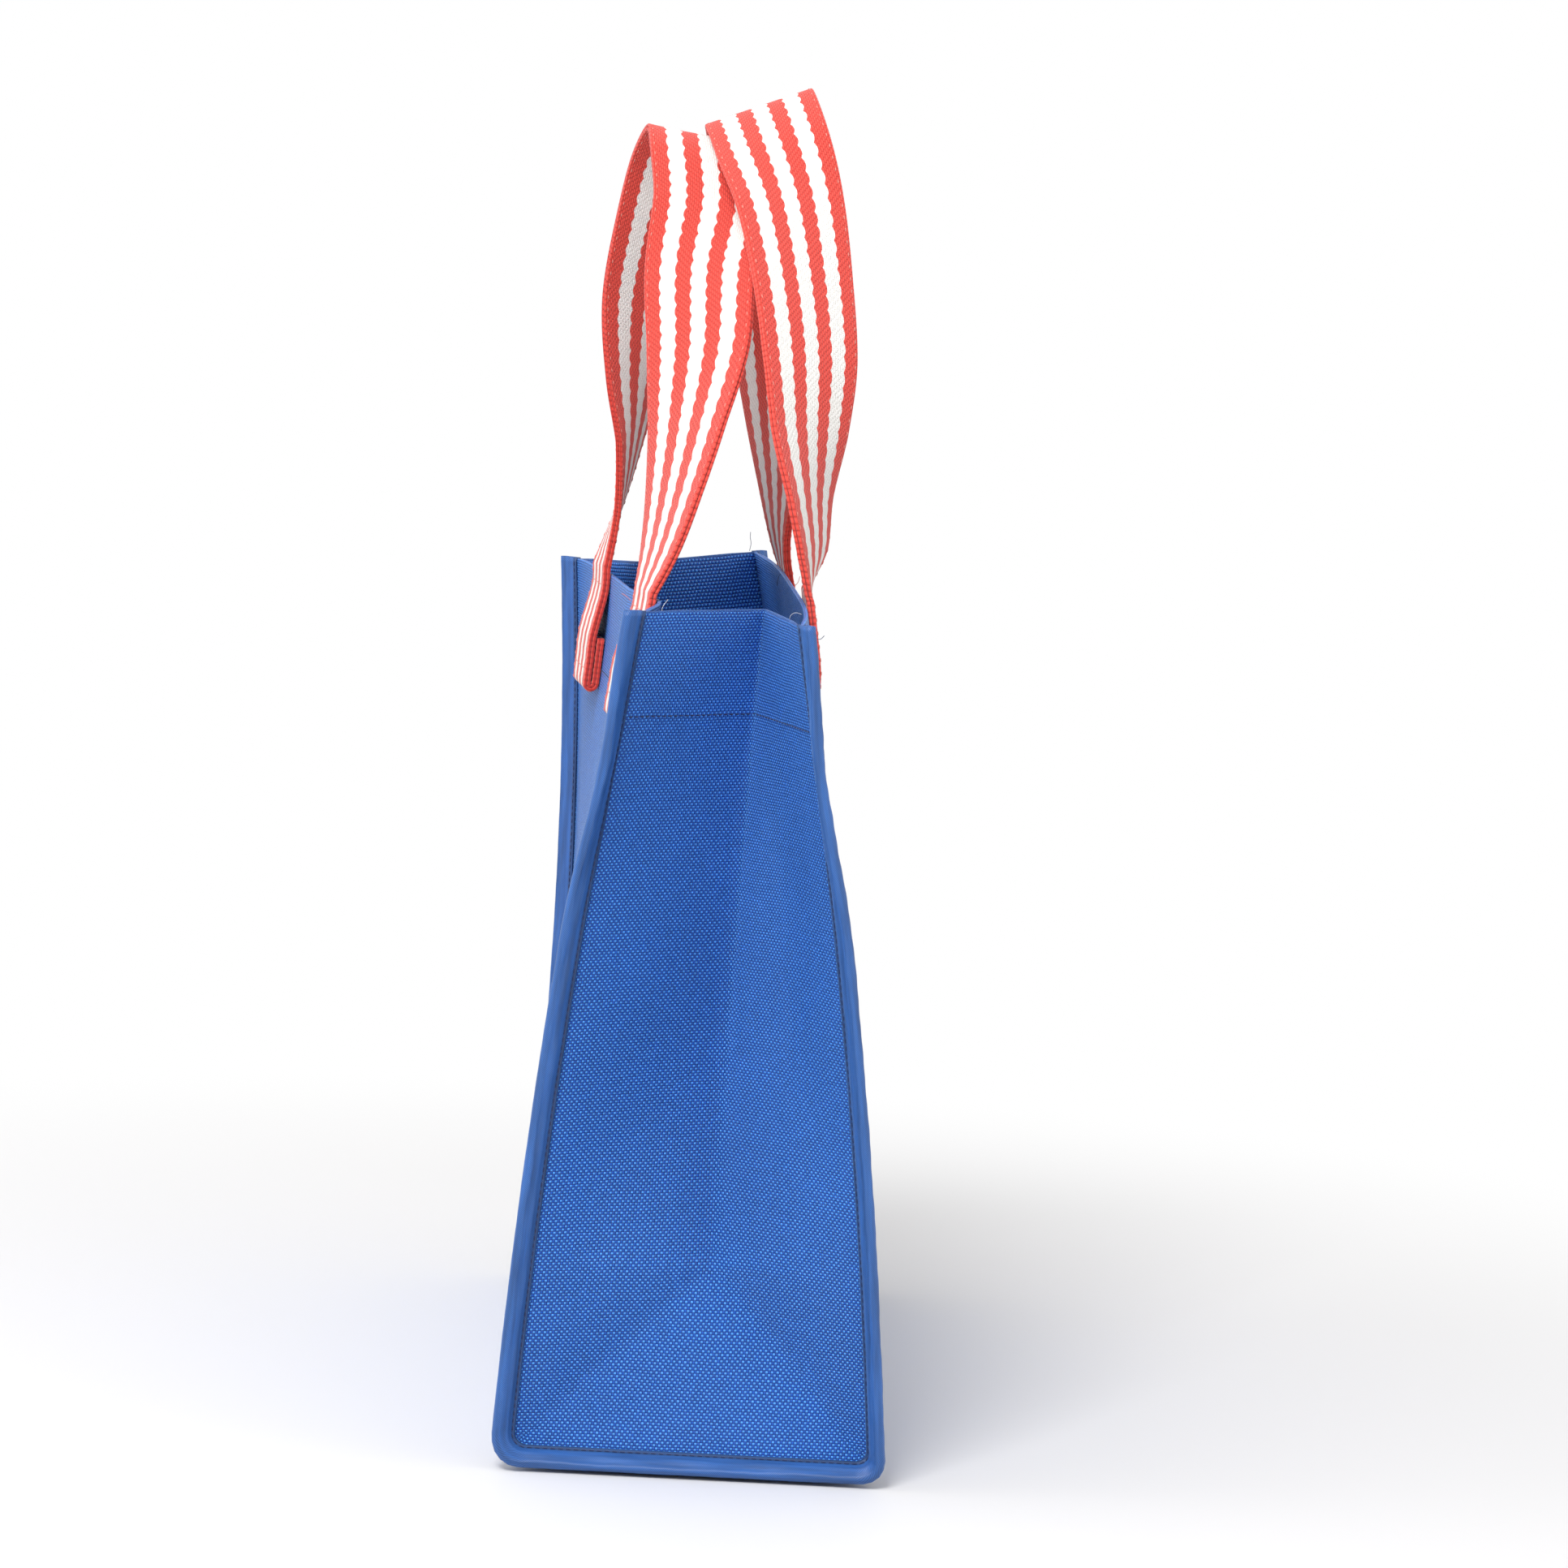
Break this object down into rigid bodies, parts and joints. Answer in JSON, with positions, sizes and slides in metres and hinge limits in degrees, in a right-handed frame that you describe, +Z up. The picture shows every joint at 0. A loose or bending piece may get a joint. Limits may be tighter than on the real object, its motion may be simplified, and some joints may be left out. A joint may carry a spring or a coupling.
{
  "type": "shopping tote bag",
  "caption": "Sewn woven-cloth tote with folded gussets, bound end seams and two striped webbing handles, standing open.",
  "frame": {"origin": "middle of the bag's box, on the plane the base stands on", "axes": "+Z up, +X along the bag towards the near gusset, +Y from the front panel to the back panel"},
  "size_m": [0.4144, 0.1626, 0.5775],
  "materials": {
    "cloth": "plain-woven polyester cloth, royal blue, slight sheen",
    "binding": "satin bias tape, blue",
    "webbing": "soft woven webbing in red and white stripes along its length"
  },
  "bodies": {
    "root": {"body_wrap": "cloth", "gusset_near": "cloth", "gusset_far": "cloth", "binding_near": "binding", "binding_far": "binding", "handle_front_outer_ply": "webbing", "handle_front_inner_ply": "webbing", "handle_back_outer_ply": "webbing", "handle_back_inner_ply": "webbing"}
  },
  "joints": []
}
